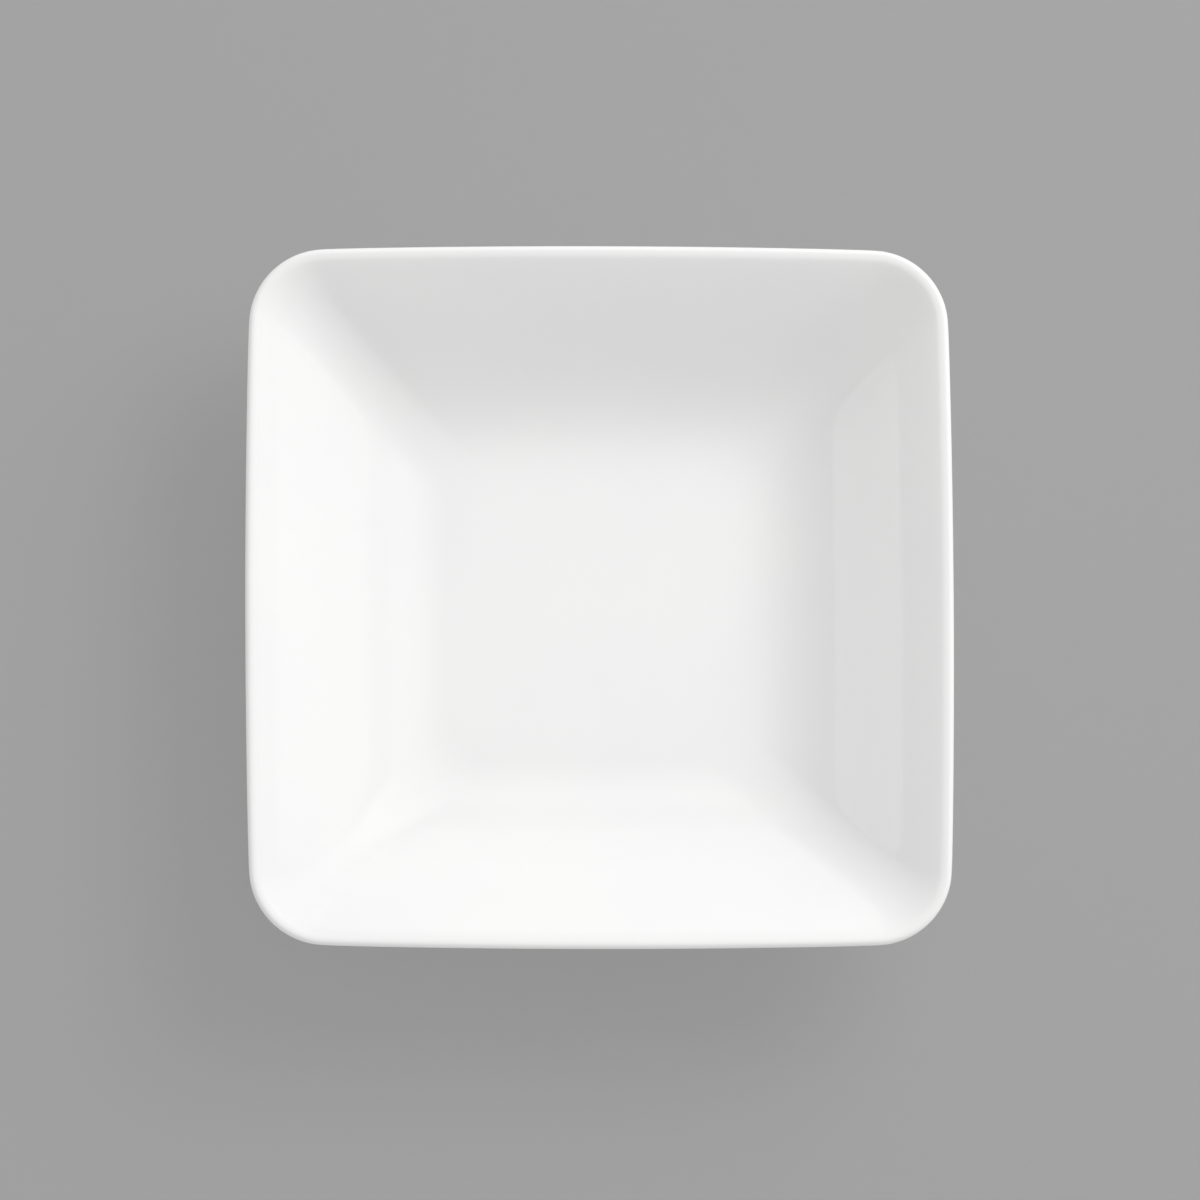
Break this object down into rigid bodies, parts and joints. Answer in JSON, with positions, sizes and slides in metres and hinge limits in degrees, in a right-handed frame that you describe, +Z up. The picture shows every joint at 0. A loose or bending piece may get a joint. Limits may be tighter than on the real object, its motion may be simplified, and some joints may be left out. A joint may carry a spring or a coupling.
{
  "type": "soup plate",
  "caption": "Deep square soup plate of white glazed porcelain with rounded corners, sloping walls, a rolled lip and a bare foot ring to stand on.",
  "frame": {"origin": "middle of the foot ring on the table", "axes": "+Z up out of the well, X and Y across the middles of the sides"},
  "size_m": [0.21, 0.21, 0.05],
  "materials": {
    "porcelain": "matte",
    "glaze": "gloss"
  },
  "bodies": {
    "root": {"porcelain_body": "porcelain", "glaze_coat": "glaze", "base_glaze": "glaze"}
  },
  "joints": []
}
